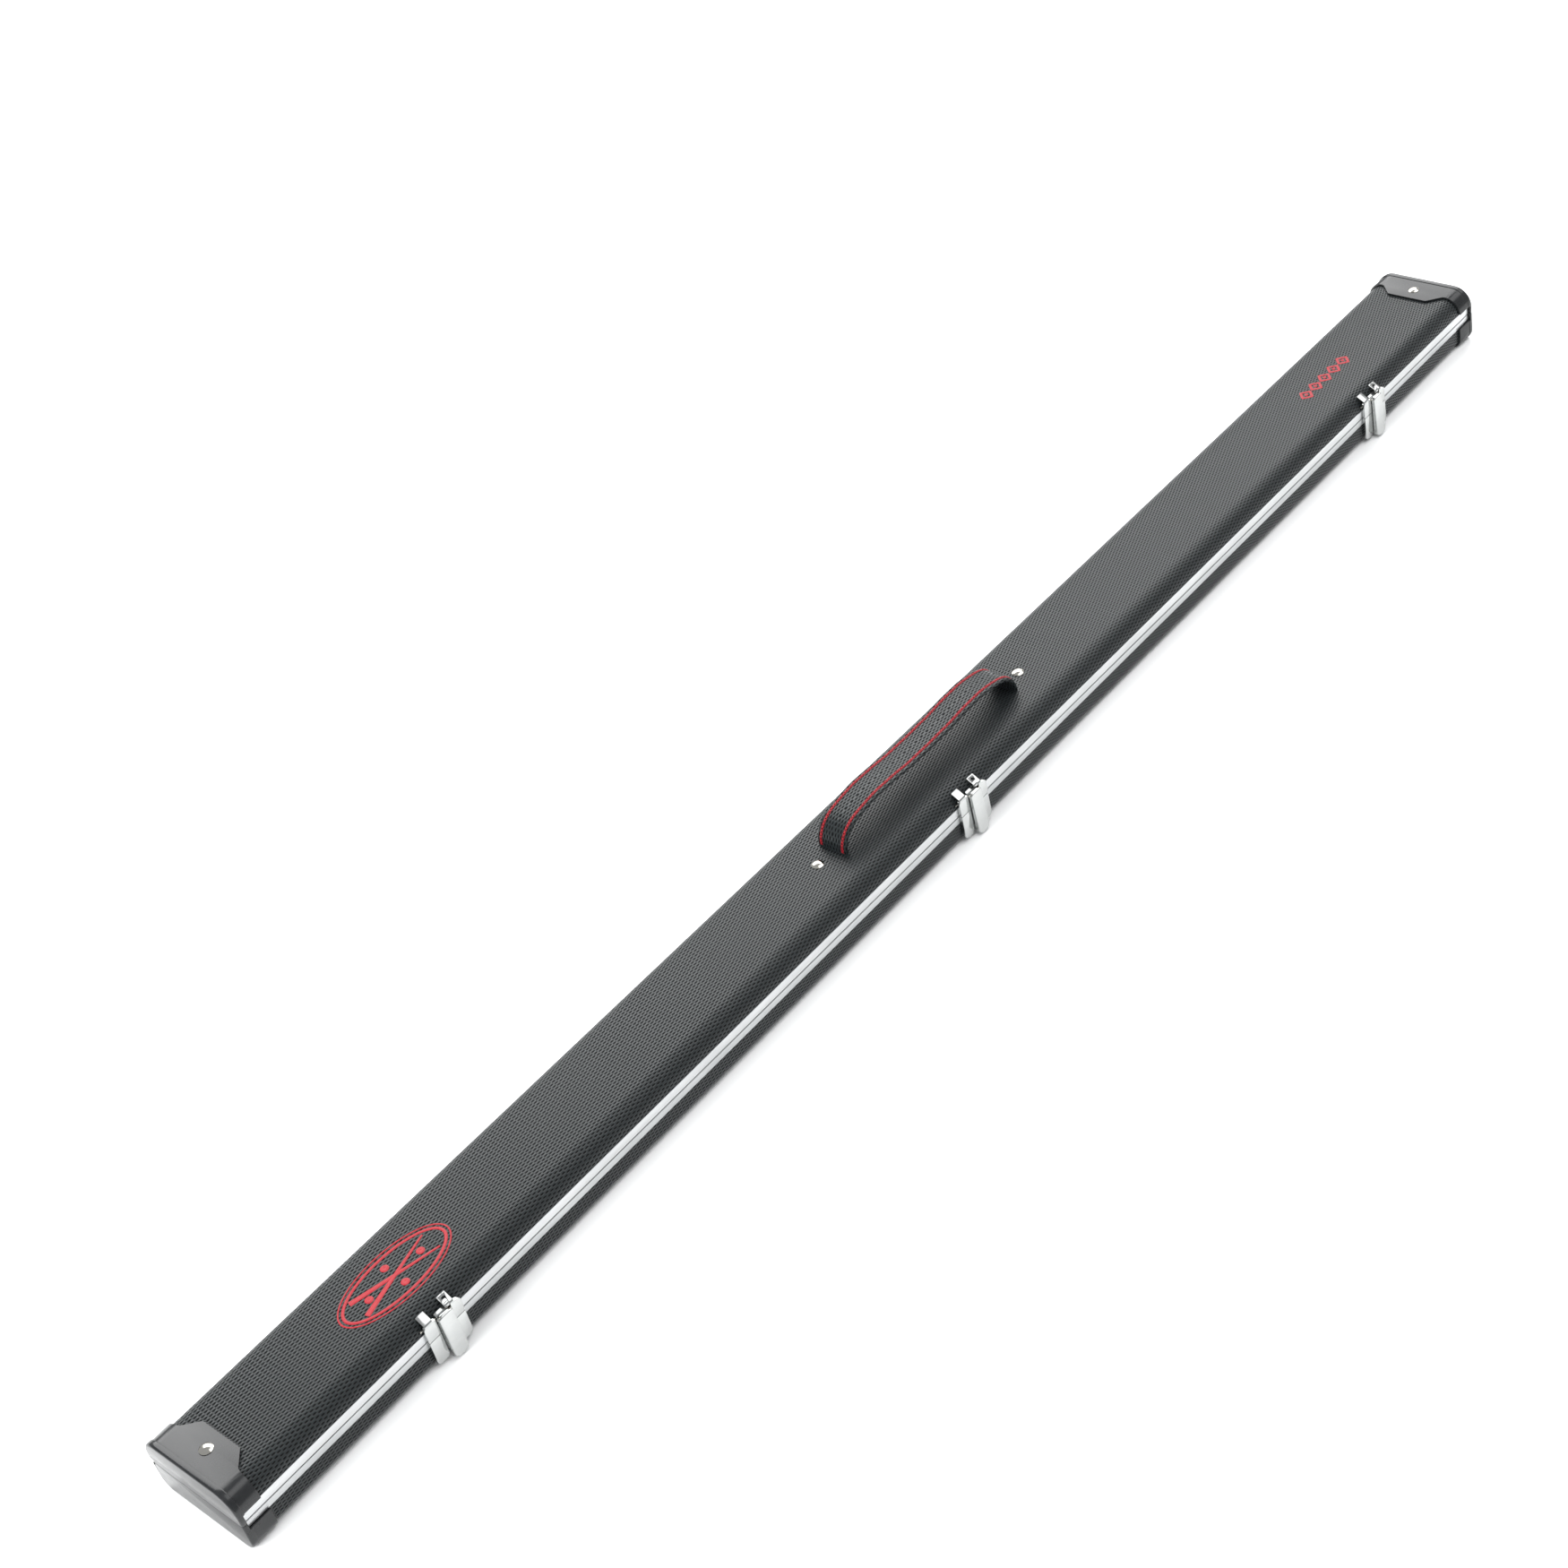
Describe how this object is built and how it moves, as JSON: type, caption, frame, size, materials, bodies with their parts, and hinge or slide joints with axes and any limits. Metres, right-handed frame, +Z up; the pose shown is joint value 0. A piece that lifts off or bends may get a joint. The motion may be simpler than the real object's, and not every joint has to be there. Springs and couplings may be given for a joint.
{
  "type": "cue case",
  "caption": "Long rigid case for a one-piece cue: two shells on a full-length hinge, closed by front draw latches, with a carrying strap on the lid.",
  "frame": {"origin": "centre of the case's footprint, on the surface it rests on", "axes": "+X along the case, -Y the latch side, +Y the hinge side, +Z up through the lid; closed at rest"},
  "size_m": [1.52, 0.1024, 0.0751],
  "materials": {
    "vinyl_cover": "woven-look coated fabric, matt",
    "cap_plastic": "semi-gloss black moulding",
    "rail_aluminium": "satin extruded",
    "latch_chrome": "bright plated",
    "rivet_nickel": "bright nickel plated",
    "foam": "open-cell egg-crate foam",
    "lining": "flocked lining"
  },
  "bodies": {
    "base": {"base_shell": "vinyl_cover", "base_floor_liner": "lining", "base_front_rail": "rail_aluminium", "base_hinge_rail": "rail_aluminium", "base_end_board_near": "lining", "base_end_cap_near": "cap_plastic", "base_cap_rivet_near": "rivet_nickel", "base_end_board_far": "lining", "base_end_cap_far": "cap_plastic", "base_cap_rivet_far": "rivet_nickel", "latch_1_base_plate": "latch_chrome", "latch_2_base_plate": "latch_chrome", "latch_3_base_plate": "latch_chrome"},
    "lid": {"lid_shell": "vinyl_cover", "lid_egg_crate_foam": "foam", "lid_front_rail": "rail_aluminium", "lid_hinge_rail": "rail_aluminium", "handle_strap": "vinyl_cover", "lid_end_board_near": "lining", "lid_end_cap_near": "cap_plastic", "lid_cap_rivet_near": "rivet_nickel", "handle_rivet_near": "rivet_nickel", "handle_backing_plate_near": "rivet_nickel", "lid_end_board_far": "lining", "lid_end_cap_far": "cap_plastic", "lid_cap_rivet_far": "rivet_nickel", "handle_rivet_far": "rivet_nickel", "handle_backing_plate_far": "rivet_nickel", "latch_1_lid_plate": "latch_chrome", "latch_1_link_pin": "rivet_nickel", "latch_1_tab_wire": "rivet_nickel", "latch_2_lid_plate": "latch_chrome", "latch_2_link_pin": "rivet_nickel", "latch_2_tab_wire": "rivet_nickel", "latch_3_lid_plate": "latch_chrome", "latch_3_link_pin": "rivet_nickel", "latch_3_tab_wire": "rivet_nickel"},
    "link_1": {"latch_1_link": "latch_chrome"},
    "lever_1": {"latch_1_lever": "latch_chrome", "latch_1_lever_pin": "rivet_nickel"},
    "link_2": {"latch_2_link": "latch_chrome"},
    "lever_2": {"latch_2_lever": "latch_chrome", "latch_2_lever_pin": "rivet_nickel"},
    "link_3": {"latch_3_link": "latch_chrome"},
    "lever_3": {"latch_3_lever": "latch_chrome", "latch_3_lever_pin": "rivet_nickel"}
  },
  "joints": [
    {"name": "lid_hinge", "type": "hinge", "parent": "base", "child": "lid", "pos_m": [0, 0.04815, 0.0271], "axis": [-1, 0, 0], "range_deg": [0, 95]},
    {"name": "link_1_turn", "type": "hinge", "parent": "lid", "child": "link_1", "pos_m": [-0.578, -0.04685, 0.0292], "axis": [1, 0, 0], "range_deg": [0, 100]},
    {"name": "lever_1_turn", "type": "hinge", "parent": "link_1", "child": "lever_1", "pos_m": [-0.578, -0.04685, 0.0397], "axis": [-1, 0, 0], "range_deg": [0, 180]},
    {"name": "link_2_turn", "type": "hinge", "parent": "lid", "child": "link_2", "pos_m": [0.001, -0.04685, 0.0292], "axis": [1, 0, 0], "range_deg": [0, 100]},
    {"name": "lever_2_turn", "type": "hinge", "parent": "link_2", "child": "lever_2", "pos_m": [0.001, -0.04685, 0.0397], "axis": [-1, 0, 0], "range_deg": [0, 180]},
    {"name": "link_3_turn", "type": "hinge", "parent": "lid", "child": "link_3", "pos_m": [0.589, -0.04685, 0.0292], "axis": [1, 0, 0], "range_deg": [0, 100]},
    {"name": "lever_3_turn", "type": "hinge", "parent": "link_3", "child": "lever_3", "pos_m": [0.589, -0.04685, 0.0397], "axis": [-1, 0, 0], "range_deg": [0, 180]}
  ],
  "couplings": [
    {"joint": "lever_1_turn", "follows": "link_1_turn", "ratio": 1.8},
    {"joint": "lever_2_turn", "follows": "link_2_turn", "ratio": 1.8},
    {"joint": "lever_3_turn", "follows": "link_3_turn", "ratio": 1.8}
  ]
}
